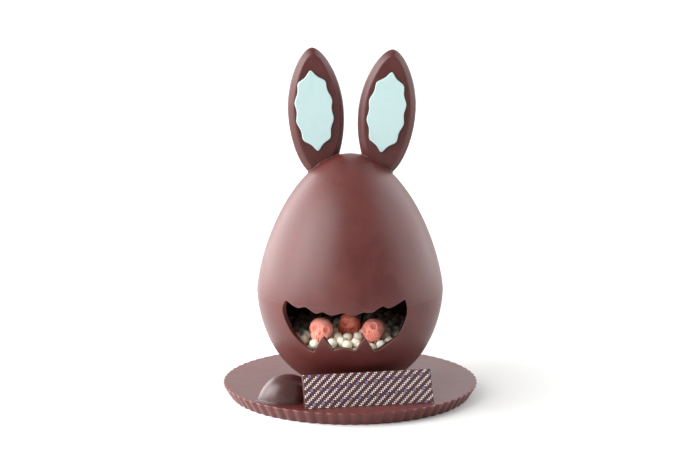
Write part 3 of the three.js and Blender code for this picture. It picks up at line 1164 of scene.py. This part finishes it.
@dataclass
class Ear:
    """One upright ear with its mint inlay."""

    side: Side
    lean: float
    length: float = 75.4
    half_width: float = 16.3
    fullness: Pair = (0.43, 0.565)
    foot_share: float = 0.02
    steps: int = 110
    thickness: float = 8.5
    side_half: float = 0.2
    bevel: Pair = (3.5, 3.25)
    face_inset: float = 4.7
    outer_round: float = 1.1
    inner_round: float = 0.8
    round_steps: int = 5
    crease: float = 40.0
    tip_from: Pair = (0.66, 0.93)
    across: float = 17.4
    back: float = 4.0
    up: float = 129.4
    turn: float = 5.0
    sunk: float = 0.5
    bead: float = 0.7
    bead_sway: float = 0.16
    bead_points: int = 150
    bead_softness: float = 1.4
    bead_steps: int = 23
    bead_search: Pair = (12.0, 30.0)
    inlay_aside: float = 0.0
    inlay_lean: float = 0.0
    inlay_centre: float = 39.3
    inlay_half: Pair = (11.25, 24.0)
    inlay_points: int = 10
    inlay_wave: float = 0.85
    inlay_steps: int = 22
    inlay_softness: float = 1.9
    inlay_proud: float = 1.6
    inlay_sunk: float = 0.05
    inlay_edge: float = 0.38
    inlay_edge_steps: int = 5
    inlay_flat: float = 0.88
    inlay_crease: float = 45.0
    inlay_shares: tuple[float, ...] = (0.8, 0.55, 0.3, 0.1)
    finish: DarkChocolate = DarkChocolate(
        "ear_chocolate", deep=(0.058, 0.0103, 0.0090), pale=(0.074, 0.0152, 0.0132), gloss=0.38,
        grain=Noise(0.5, 2, 0.6))
    inlay_finish: MintChocolate = MintChocolate()

    def build(self) -> list[Object]:
        """Builds the ear and its inlay.

        Returns:
            The two pieces.
        """
        sign, name = self.side.value, self.side.name.title()
        self.foot = np.array([sign * self.across, self.back, self.up])
        self.pose = turned(sign * self.lean, 1) @ turned(-sign * self.turn, 2)
        self.upward = self.pose[:, 2]
        return [
            settle(self.slab(f"Ear{name}"), self.finish, f"ear_{name.lower()}"),
            settle(self.inlay(f"MintInlay{name}"), self.inlay_finish, f"mint_inlay_{name.lower()}"),
        ]

    def placed(self, flat: Array, depth: float) -> Array:
        """Points of the ear's plane, at a depth behind it, in the part's frame."""
        own = np.stack([flat[:, 0], np.full(len(flat), depth), flat[:, 1]], -1)
        return own @ self.pose.T + self.foot

    def outline(self) -> Array:
        """The ear's outline in its own plane.

        Returns:
            The points, counterclockwise from the foot.
        """
        counts = np.arange(1, 2 * self.steps)
        climb = (1 - np.cos(math.pi * counts / self.steps)) / 2
        share = np.minimum(self.foot_share + (1 - self.foot_share) * climb, 1)
        fullness = np.where(share < 0.5, *self.fullness)
        half = self.half_width * np.sin(math.pi * share).clip(0) ** fullness
        return np.stack([np.where(counts < self.steps, half, -half), self.length * share], -1)

    def section(self) -> list[Pair]:
        """The slab's section.

        Returns:
            Pairs of distance in from the outline and depth.
        """
        face = self.thickness / 2
        side, low = (0.0, self.side_half), (0.0, face - self.bevel[1])
        high, flat = (self.bevel[0], face), (self.face_inset, face)
        back = [flat, *self.corner(flat, high, low, self.inner_round),
                *self.corner(high, low, side, self.outer_round), side]
        return [*back, *((inset, -depth) for inset, depth in reversed(back))]

    def corner(self, before: Pair, at: Pair, after: Pair, reach: float) -> list[Pair]:
        """A rounded corner of the section.

        Args:
            before: a point before the corner.
            at: where the corner would be.
            after: a point after it.
            reach: how far from it the rounding starts.

        Returns:
            The corner's points.
        """
        before, at, after = np.array(before), np.array(at), np.array(after)
        start, end = at + reach * unit(before - at), at + reach * unit(after - at)
        shares = np.linspace(0, 1, self.round_steps)
        return [tuple(start * (1 - t) ** 2 + 2 * at * t * (1 - t) + end * t * t) for t in shares]

    def slab(self, name: str) -> Object:
        """The rounded slab, set on the egg, with the line of melted chocolate round its foot.

        Args:
            name: the object's name.

        Returns:
            The object.
        """
        draft, line, rows, crossings = Draft(), self.outline(), [], []
        away = outward(line)
        near_tip = rise(line[:, 1:] / self.length, *self.tip_from)
        for inset, depth in self.section():
            drawn = line * (1 - inset / self.half_width, 1 - inset / self.length)
            ring = self.placed((line - away * inset) * (1 - near_tip) + drawn * near_tip, depth)
            lift = EGG.exit(ring, self.upward, self.length, self.sunk)
            rows.append(draft.add(ring + lift[:, None] * self.upward))
            crossings.append(self.crossing(ring))
        draft.bands(rows)
        draft.ladder(rows[0])
        draft.ladder(rows[-1])
        self.add_bead(draft, crossings)
        return draft.build(name, self.crease)

    def crossing(self, ring: Array) -> tuple[Array, Array]:
        """Where a ring leaves the egg.

        Args:
            ring: its points.

        Returns:
            The points on its right and on its left.
        """
        found = []
        for way in (ring, ring[::-1]):
            out = EGG.outside(way)
            i = 1 + int(np.argmax(out[1:] > 0))
            found.append(way[i - 1] + out[i - 1] / (out[i - 1] - out[i]) * (way[i] - way[i - 1]))
        return found[0], found[1]

    def add_bead(self, draft: Draft, crossings: list[tuple[Array, Array]]) -> None:
        """Adds the line of melted chocolate round the foot.

        Args:
            draft: the ear's mesh.
            crossings: where each ring of the ear leaves the egg.
        """
        rights, lefts = map(list, zip(*crossings))
        shares = np.linspace(0, 1, self.bead_steps + 1)[1:-1, None]
        front = self.on_egg(rights[-1] + (lefts[-1] - rights[-1]) * shares)
        behind = self.on_egg(lefts[0] + (rights[0] - lefts[0]) * shares)
        loop = np.concatenate([rights, front, lefts[::-1], behind])
        path = softened(evenly(loop, self.bead_points), self.bead_softness)
        waves = ((5, self.side.value, 1), (11, 0, 0.8), (23, 0, 0.5))
        sway = ripple(around(self.bead_points), waves)
        draft.tube(path, EGG.normal(path), self.bead * (1 + self.bead_sway * sway))

    def on_egg(self, points: Array) -> Array:
        """Points moved along the ear onto the egg's surface."""
        low = points - self.upward * self.bead_search[0]
        return low + EGG.exit(low, self.upward, self.bead_search[1])[:, None] * self.upward

    def inlay_outline(self) -> Array:
        """The inlay's wavy outline in the ear's plane.

        Returns:
            The points, counterclockwise.
        """
        dense = around(2000) + math.pi / 2
        oval = np.stack([np.cos(dense), np.sin(dense)], -1) * self.inlay_half
        tips = evenly(oval, self.inlay_points)
        shares = (np.arange(self.inlay_steps) / self.inlay_steps)[:, None]
        dips = self.inlay_wave * np.sin(math.pi * shares) ** 2
        line = []
        for tip, following in zip(tips, np.roll(tips, -1, 0)):
            along = following - tip
            line.append(tip + along * shares + unit(np.array([-along[1], along[0]])) * dips)
        wavy = np.concatenate(line)
        wavy = softened(evenly(wavy, len(wavy)), self.inlay_softness)
        return wavy @ turned(self.inlay_lean, 2)[:2, :2].T + (self.inlay_aside, self.inlay_centre)

    def inlay(self, name: str) -> Object:
        """The plaque, its back on the ear's front face.

        Args:
            name: the object's name.

        Returns:
            The object.
        """
        line, face, proud = self.inlay_outline(), -self.thickness / 2, self.inlay_proud
        away = outward(line)
        section = [
            (0.0, self.inlay_sunk), (0.0, -proud / 2),
            *((self.inlay_edge * (1 - math.cos(t)), self.inlay_edge * (1 - math.sin(t)) - proud)
              for t in quarter(self.inlay_edge_steps)),
            (self.inlay_flat, -proud),
        ]
        rings = [(line - away * inset, depth) for inset, depth in section]
        middle = np.array([self.inlay_aside, self.inlay_centre])
        rings += [(middle + (rings[-1][0] - middle) * share, -proud) for share in self.inlay_shares]
        draft = Draft()
        draft.loft(self.placed(flat, face + depth) for flat, depth in rings)
        return draft.build(name, self.inlay_crease)


@dataclass
class HalfEgg:
    """The small half egg that lies on its cut, its brim given as distance out and height."""

    at: Pair = (-35.8, -45.2)
    turn: float = 10.3
    left: float = 17.5
    right: float = 16.6
    half_width: float = 11.0
    height: float = 14.9
    taper: float = 2.63
    blunt: float = 1.22
    brim: tuple[Pair, ...] = (
        (0.2, 0.0), (0.9, 0.05), (0.9, 0.55), (0.8, 0.73), (0.6, 0.8), (0.12, 0.85))
    samples: int = 720
    crease: float = 60.0
    columns: int = 160
    rows: int = 36
    finish: DarkChocolate = DarkChocolate(
        "half_egg_chocolate", deep=(0.038, 0.0080, 0.0070), pale=(0.051, 0.0115, 0.0100),
        gloss=0.34, ior=1.56)

    def build(self) -> Object:
        """Builds the half egg.

        Returns:
            The piece.
        """
        draft, foot = Draft(), self.footprint()
        away = outward(foot)
        rows = [draft.add(self.placed(foot + away * aside, z)) for aside, z in self.brim]
        for i in range(2, self.rows):
            flat = foot * math.cos(math.pi / 2 * i / self.rows)
            rows.append(draft.add(self.placed(flat, self.dome(flat))))
        draft.bands(rows)
        draft.face(rows[0])
        draft.fan(rows[-1], self.placed(np.zeros((1, 2)), self.height))
        return settle(draft.build("HalfEgg", self.crease), self.finish, "half_egg")

    def girth(self, along: Array) -> Array:
        """The share of full girth at shares of the length, -1 left to 1 right."""
        left = (1 - np.abs(along.clip(-1, 0)) ** self.taper) ** (1 / self.blunt)
        return np.where(along < 0, left, np.sqrt(1 - along.clip(0, 1) ** 2))

    def footprint(self) -> Array:
        """The cut's outline.

        Returns:
            The points, counterclockwise.
        """
        along = np.cos(around(self.samples))
        reach = np.where(along < 0, self.left, self.right)
        side = np.where(np.arange(self.samples) < self.samples / 2, 1, -1)
        line = np.stack([along * reach, side * self.half_width * self.girth(along)], -1)
        return evenly(line, self.columns)

    def dome(self, flat: Array) -> Array:
        """The dome's height over points of the cut."""
        along = flat[:, 0] / np.where(flat[:, 0] < 0, self.left, self.right)
        share = self.girth(along) ** 2 - (flat[:, 1] / self.half_width) ** 2
        return self.height * np.sqrt(share.clip(0))

    def placed(self, flat: Array, z: float | Array) -> Array:
        """Points on the disc."""
        own = np.stack([flat[:, 0], flat[:, 1], z + 0 * flat[:, 0]], -1)
        return own @ turned(self.turn, 2).T + (*self.at, DISC_TOP)


@dataclass
class PrintedBar:
    """The thin bar that leans back in front of the egg."""

    at: Pair = (-25.2, -66.1)
    turn: float = 10.7
    length: float = 74.6
    height: float = 20.4
    lean: float = 30.6
    thickness: float = 4.0
    bead: float = 3.0
    bead_turns: Pair = (0.45, 0.95)
    edge: float = 0.3
    edge_steps: int = 3
    sharp: float = 40.0
    crease: float = 35.0
    finish: PrintedChocolate = PrintedChocolate()

    def build(self) -> Object:
        """Builds the bar.

        Returns:
            The piece.
        """
        lean = math.radians(self.lean)
        self.rise = np.array([0, math.sin(lean), math.cos(lean)])
        draft = Draft()
        draft.loft(np.array([(along, *spot) for spot in self.section()])
                   for along in (0.0, self.length))
        bar = draft.build("PrintedBar")
        self.soften(bar.data)
        return settle(bar, self.finish, "printed_bar")

    def section(self) -> list[Pair]:
        """The bar's section with its foot bead.

        Returns:
            Pairs of depth and height.
        """
        up = self.rise[1:]
        back = np.array([up[1], -up[0]])
        foot = np.array([self.thickness / up[1], 0])
        round_bead = [foot + self.bead * (np.array([math.cos(t), 0]) + up * math.sin(t))
                      for t in (0.0, *self.bead_turns)]
        return [(0.0, 0.0), *round_bead, foot + up * self.bead,
                up * self.height + back * self.thickness, up * self.height]

    def soften(self, mesh: Mesh) -> None:
        """Rounds the edges, keeps where the print goes, and stands the bar on the disc.

        Args:
            mesh: the bar's mesh, in its own frame.
        """
        shape = bmesh.new()
        shape.from_mesh(mesh)
        sharp = [e for e in shape.edges if e.calc_face_angle(0) > math.radians(self.sharp)]
        bmesh.ops.bevel(shape, geom=sharp, offset=self.edge * MM, segments=self.edge_steps,
                        profile=0.5, affect="EDGES")
        shape.to_mesh(mesh)
        shape.free()
        own = np.array([v.co for v in mesh.vertices]) / MM
        ahead = np.array([0, -self.rise[2], self.rise[1]])
        keep(mesh, "print_across", own[:, 0])
        keep(mesh, "print_up", own @ self.rise)
        keep(mesh, "print_front", own @ ahead > -0.01)
        stood = own @ turned(self.turn, 2).T + (*self.at, DISC_TOP)
        mesh.vertices.foreach_set("co", (stood * MM).astype(np.float32).ravel())
        smooth(mesh, self.crease)
        mesh.update()


@dataclass(frozen=True)
class SkullPlace:
    """Where one skull lies: its centre, its roll sideways, its turn and how far it lies back."""

    name: str
    at: Triple
    roll: float
    turn: float
    tilt: float = 12
    finish: CoralSugar = CoralSugar()


# Painted shade: a redder copy of the coral sugar for the middle skull, which lies deeper in the
# egg's shade
SHADED_CORAL = CoralSugar("coral_sugar_painted_shade", tone=(0.98, 0.23, 0.145), light=(0.99, 0.34, 0.235))
SKULL_PLACES = (
    SkullPlace("left", (-16.5, -30.0, 46.5), 10, -4),
    SkullPlace("middle", (0.2, -17.0, 46.0), 47, -4, 2, SHADED_CORAL),
    SkullPlace("right", (13.6, -29.0, 45.8), -27, -24, 24),
)


@dataclass
class SugarSkull:
    """A pressed sugar skull with eye rings, a nose and a row of teeth."""

    place: SkullPlace
    scale: float = 1.05
    fineness: int = 6
    cranium: Triple = (6.6, 6.0, 5.9)
    jaw: Triple = (5.2, 3.9, 3.8)
    jaw_at: Triple = (0.0, -1.6, -4.2)
    heart: Triple = (0.0, -0.6, -1.2)
    melt: float = 0.45
    slim: float = 0.12
    front_from: Pair = (0.5, 3.0)
    eye_at: Pair = (3.05, -0.35)
    eye_half: Pair = (1.75, 1.9)
    eye_edge: Pair = (0.55, 1.02)
    eye_depth: float = 0.95
    pit_depth: float = 0.25
    ring_height: float = 0.32
    nose_at: float = -2.75
    nose_depth: float = 0.6
    bridge_height: float = 0.25
    teeth_gap: float = 1.32
    teeth_top: float = -4.0
    teeth_end: float = -7.3
    gap_depth: float = 0.55
    tooth_height: float = 0.18
    shelf_depth: float = 0.25
    cheek_height: float = 0.25

    def build(self) -> Object:
        """Builds the skull.

        Returns:
            The piece.
        """
        ways, faces = ball(self.fineness, 1)
        points, hollow = self.press(self.form(unit(ways)))
        place = self.place
        pose = turned(place.turn, 2) @ turned(place.roll, 1) @ turned(-place.tilt, 0)
        draft = Draft()
        # The hollow value is kept for the painted shade in the skull's hollows
        draft.add(self.scale * points @ pose.T + place.at, hollow=hollow)
        draft.faces = faces
        skull = draft.build(f"SugarSkull{place.name.title()}")
        return settle(skull, place.finish, f"skull_{place.name}")

    def form(self, ways: Array) -> Array:
        """The plain form of cranium and jaw run together.

        Args:
            ways: the directions from the heart.

        Returns:
            One point for each direction.
        """
        balls = ((self.cranium, (0, 0, 0)), (self.jaw, self.jaw_at))
        reaches = [self.reach(ways, sizes, centre) for sizes, centre in balls]
        top = np.maximum(*reaches)
        reach = top + self.melt * np.log(sum(np.exp((r - top) / self.melt) for r in reaches))
        return ways * (reach - self.slim)[:, None] + self.heart

    def reach(self, ways: Array, sizes: Triple, centre: Triple) -> Array:
        """How far from the heart each direction leaves an ellipsoid.

        Args:
            ways: the directions.
            sizes: the ellipsoid's half sizes.
            centre: its centre.

        Returns:
            The distance for each direction, 0 where it misses.
        """
        start = (np.array(self.heart) - centre) / sizes
        way = ways / sizes
        a, b, c = (way ** 2).sum(1), way @ start, (start ** 2).sum() - 1
        root = b * b - a * c
        return np.where(root > 0, (-b + np.sqrt(root.clip(0))) / a, 0)

    def press(self, points: Array) -> tuple[Array, Array]:
        """Presses the features in.

        Args:
            points: the plain form's points.

        Returns:
            The pressed points, and how deep in a hollow each one is, from 0 to 1, which sets the
            painted shade there.
        """
        x, y, z = points.T
        aside = np.abs(x)
        depth, hollow = np.zeros(len(x)), np.zeros(len(x))
        for sign in (-1, 1):
            apart = np.hypot((x - sign * self.eye_at[0]) / self.eye_half[0],
                             (z - self.eye_at[1]) / self.eye_half[1])
            dish = 1 - rise(apart, *self.eye_edge)
            depth += self.eye_depth * dish + self.pit_depth * swell(apart, 0, 0.35)
            depth -= self.ring_height * swell(apart, 1.17, 0.16)
            hollow += dish
        drop = self.nose_at - z
        spread = 0.25 + 0.55 * rise(drop, -1.0, 0.8)
        nose = 1 - rise(aside, spread * 0.5, spread * 1.35)
        nose = nose * (1 - rise(np.abs(drop), 0.55, 1.05))
        bridge = swell(x, 0, 0.7) * swell(z, self.nose_at + 1.6, 1.0)
        rows = rise(-z, -self.teeth_top - 0.4, -self.teeth_top + 0.5)
        rows = rows * (1 - rise(-z, -self.teeth_end - 0.4, -self.teeth_end))
        phase = np.abs((x / self.teeth_gap + 0.5) % 1 - 0.5) * self.teeth_gap
        gaps = swell(phase, 0, 0.29) * rows * (1 - rise(aside, 3.4, 4.0))
        shelf = swell(z, self.teeth_top + 0.1, 0.35) * (1 - rise(aside, 2.6, 3.8))
        cheek = swell(aside, 4.3, 0.9) * swell(z, -3.3, 0.9)
        depth += self.nose_depth * nose + self.gap_depth * gaps + self.shelf_depth * shelf
        depth -= self.bridge_height * bridge + self.cheek_height * cheek
        depth -= self.tooth_height * rows * (1 - gaps) * (aside < 3.6)
        # Painted shade: how dark the nose, the tooth gaps and the shelf under the teeth are
        # painted, besides the eye sockets
        hollow += 0.8 * nose + 0.55 * gaps + 0.35 * shelf
        front = rise(-y, *self.front_from)
        pressed = points + np.stack([0 * x, front * depth, 0 * x], -1)
        return pressed, (front * hollow).clip(0, 1)


@dataclass
class PearlHeap:
    """The sugar pearls over their own core.

    Each pearl at the mouth is given by its place, and by how far it is sunk where it is.
    """

    radius: float = 3.0
    crown: float = 43.0
    edge: float = 38.0
    reach: float = 43.0
    wall_gap: float = 3.9
    spacing: float = 5.92
    spiral_step: float = 0.8
    limit: float = 42.8
    layers: int = 3
    layer_drop: float = 4.7
    jitter: float = 0.25
    seed: int = 11
    skull_clearance: float = 9.0
    fine_from: Pair = (-12.0, 35.0)
    # Painted shade: from where to where, front to back, the pearls grow darker
    dim_from: Pair = (-22.0, -5.0)
    fineness: tuple[int, int] = (3, 4)
    sizes: Pair = (0.97, 1.0)
    stretch: Pair = (0.98, 1.0)
    core_floor: float = 11.6
    core_drop: float = 12.6
    core_sides: int = 96
    core_rows: int = 10
    core_shares: Triple = (0.75, 0.5, 0.25)
    core_tone: float = 0.4
    at_mouth: tuple[tuple[float, ...], ...] = (
        (-20.6, -35.4), (-26.7, -27.6), (-10.4, -36.7), (-1.5, -39.6), (-4.9, -34.7), (3.4, -36.3),
        (12.2, -37.6, 2.3), (17.9, -36.4, 0.6), (22.5, -31.2), (-7.2, -28.2), (-1.4, -29.6),
        (4.5, -28.2), (27, -20.5), (21.6, -17.2), (-30.9, -21.5), (-27.7, -14.8), (23.7, -2.1),
        (-30.9, 0.2), (-25.4, -5.1), (22.7, 14), (-7.3, -1.6),
    )
    finish: SugarPearl = SugarPearl()

    def build(self) -> Object:
        """Builds the heap.

        Returns:
            The piece.
        """
        self.chance = np.random.default_rng(self.seed)
        draft = Draft()
        for centre in self.centres():
            self.add_pearl(draft, centre)
        self.add_core(draft)
        return settle(draft.build("PearlHeap"), self.finish, "pearl_heap")

    def height(self, reach: float) -> float:
        """The height of the top pearls' centres at a distance from the middle."""
        return self.edge + (self.crown - self.edge) * max(0.0, 1 - (reach / self.reach) ** 2)

    def centres(self) -> list[Array]:
        """Places the pearls at the mouth, then layer after layer on spirals.

        Returns:
            Their centres.
        """
        placed = [np.array([x, y, self.height(math.hypot(x, y)) - sum(sunk)])
                  for x, y, *sunk in self.at_mouth]
        golden = math.pi * (3 - math.sqrt(5))
        for layer in range(self.layers):
            for i in range(int((self.limit / self.spiral_step) ** 2), 0, -1):
                out = self.spiral_step * math.sqrt(i)
                turn = i * golden + layer
                sway = self.chance.uniform(-self.jitter, self.jitter)
                z = self.height(out) - layer * self.layer_drop + sway
                spot = np.array([out * math.cos(turn), out * math.sin(turn), z])
                if self.has_room(spot, placed):
                    placed.append(spot)
        return placed

    def has_room(self, spot: Array, placed: list[Array]) -> bool:
        """Whether a pearl keeps off the shell, the skulls and the other pearls.

        Args:
            spot: its centre.
            placed: the centres of those that lie there.

        Returns:
            Whether it does.
        """
        if EGG.outside(spot) > -self.wall_gap - self.radius:
            return False
        if any(np.linalg.norm(spot - place.at) < self.skull_clearance for place in SKULL_PLACES):
            return False
        return bool((np.linalg.norm(np.array(placed) - spot, axis=1) > self.spacing).all())

    def add_pearl(self, draft: Draft, centre: Array) -> None:
        """Adds one pearl, rounder near the mouth.

        Args:
            draft: the heap's mesh.
            centre: the pearl's centre.
        """
        close = centre[1] < self.fine_from[0] and centre[2] > self.fine_from[1]
        points, faces = ball(self.fineness[int(close)], self.radius)
        size = self.chance.uniform(*self.sizes)
        points = points * (size * self.chance.uniform(*self.stretch, 3))
        spin = turned(self.chance.uniform(0, 360), 0) @ turned(self.chance.uniform(0, 360), 2)
        # The pearl's painted shade grows toward the back of the egg
        numbers = draft.add(points @ spin.T + centre, tone=self.chance.uniform(0, 1),
                            dim=rise(centre[1], *self.dim_from))
        for face in faces:
            draft.face(numbers[list(face)])

    def add_core(self, draft: Draft) -> None:
        """Adds the bulk under the pearls, which stands on the hollow's floor.

        Args:
            draft: the heap's mesh.
        """
        heights = np.linspace(self.core_floor, self.edge - self.core_drop, self.core_rows)
        rings = [(float(EGG.girth(z, self.wall_gap)), z) for z in heights]
        rings += [(share * rings[-1][0], self.height(share * self.reach) - self.core_drop)
                  for share in self.core_shares]
        rows = []
        for reach, z in rings:
            ring = level_ring(reach, around(self.core_sides), z)
            # The core's painted shade grows toward the back of the egg
            dim = rise(ring[:, 1], *self.dim_from)
            rows.append(draft.add(ring, tone=self.core_tone, dim=dim))
        draft.bands(rows)
        draft.face(rows[0])
        draft.face(rows[-1])


@dataclass(frozen=True)
class Softbox:
    """A lamp: its name, its place and size in metres, and its watts."""

    name: str
    at: Triple
    wide: float
    high: float
    watts: float


@dataclass
class Studio:
    """A plain pale floor, soft studio light and the camera, in metres."""

    floor_half: float = 9.0
    floor_tone: Colour = (0.60, 0.60, 0.596)
    floor_clouds: Noise = Noise(90, 2)
    floor_light: float = 1.01
    # Painted light: the floor glows, most to the left, then far behind, least to the right
    floor_glow: float = 0.70
    left_glow: float = 2.0
    left_from: Pair = (-0.20, 0.06)
    right_glow: float = 0.55
    right_from: Pair = (0.16, 0.50)
    # Painted shade: the floor in front of the egg, out of view, darkened
    painted_front_shade_tone: float = 0.3
    front_from: Pair = (-0.85, -0.35)
    glow_from: Pair = (-0.1, 2.2)
    sky: Pair = (0.54, 1.40)
    sky_from: Pair = (-0.35, 0.6)
    lamps: tuple[Softbox, ...] = (
        Softbox("KeyLeft", (-1.17, 0.34, 0.44), 2.1, 1.2, 40),
        Softbox("SoftFrontLeft", (-1.14, -0.78, 0.92), 1.4, 1.4, 37),
        Softbox("FillRight", (1.12, 0.30, 0.6), 1.9, 1.6, 23),
    )
    aim: Triple = (0.0, 0.0, 0.09)
    camera_at: Triple = (0.0, -1.4492, 0.395)
    pitch: float = 11.66
    lens: float = 130.37
    sensor: float = 36.0

    def build(self) -> None:
        """Builds floor, light and camera."""
        bpy.context.scene.view_settings.view_transform = "Standard"
        self.add_floor()
        self.add_sky()
        for lamp in self.lamps:
            self.add_lamp(lamp)
        self.add_camera()

    def add_floor(self) -> None:
        """Adds the floor, far wider than the view."""
        draft, half = Draft(), self.floor_half / MM
        corners = [(-half, -half, 0), (half, -half, 0), (half, half, 0), (-half, half, 0)]
        draft.face(draft.add(np.array(corners)))
        floor = draft.build("Floor")
        book = NodeBook(bpy.data.materials.new("pale_floor"))
        light, dark = (tuple(c * share for c in self.floor_tone)
                       for share in (self.floor_light, self.painted_front_shade_tone))
        tone = book.blend(book.noise(self.floor_clouds), self.floor_tone, light)
        behind, aside = book.along("Y"), book.along("X")
        # Painted shade: the floor toward the camera darkened
        tone = book.blend(behind.ramp(*self.front_from), dark, tone)
        # Painted light: the floor's glow, most to the left, then far behind, least to the right
        share = behind.ramp(*self.glow_from).most(aside.ramp(*self.left_from, self.left_glow, 0.0))
        share = share.most(aside.ramp(*self.right_from, 0.0, self.right_glow))
        floor.data.materials.append(book.finish(
            Base_Color=tone, Roughness=0.9, Specular_IOR_Level=0.1,
            Emission_Color=book.blend(share, BLACK, WHITE), Emission_Strength=self.floor_glow))

    def add_sky(self) -> None:
        """Adds white light from all round, brighter from behind the egg."""
        scene = bpy.context.scene
        scene.world = scene.world or bpy.data.worlds.new("Studio")
        book = NodeBook(scene.world)
        way = book.node("ShaderNodeTexCoord", output="Generated")
        strength = book.along("Y", way).ramp(*self.sky_from, *self.sky)
        light = book.node("ShaderNodeBackground", None, {"Strength": strength})
        book.node("ShaderNodeOutputWorld", None, {"Surface": light})

    def add_lamp(self, lamp: Softbox) -> None:
        """Adds a lamp aimed at the egg.

        Args:
            lamp: which one.
        """
        data = bpy.data.lights.new(lamp.name, "AREA")
        data.shape = "RECTANGLE"
        data.size, data.size_y, data.energy = lamp.wide, lamp.high, lamp.watts
        light = bpy.data.objects.new(lamp.name, data)
        light.location = lamp.at
        way = Vector(self.aim) - Vector(lamp.at)
        light.rotation_euler = way.to_track_quat("-Z", "Y").to_euler()
        bpy.context.scene.collection.objects.link(light)

    def add_camera(self) -> None:
        """Adds the camera, at the photo's viewing angle."""
        data = bpy.data.cameras.new("Camera")
        data.sensor_fit = "HORIZONTAL"
        data.sensor_width, data.lens = self.sensor, self.lens
        camera = bpy.data.objects.new("Camera", data)
        camera.location = self.camera_at
        camera.rotation_euler = (math.radians(90 - self.pitch), 0, 0)
        bpy.context.scene.collection.objects.link(camera)
        bpy.context.scene.camera = camera


def main() -> None:
    """Builds every piece in order."""
    logging.basicConfig(level=logging.INFO)
    Studio().build()
    FlutedDisc().build()
    EggShell().build()
    Ear(Side.LEFT, 3.6, inlay_aside=-1.2, inlay_lean=1.6).build()
    Ear(Side.RIGHT, 5.6, length=74.5, half_width=16.7, across=17.7, turn=-1.5, inlay_aside=-0.5,
        inlay_lean=-1.9, inlay_centre=38.4).build()
    HalfEgg().build()
    PrintedBar().build()
    for place in SKULL_PLACES:
        SugarSkull(place).build()
    PearlHeap().build()


if __name__ == "__main__":
    main()
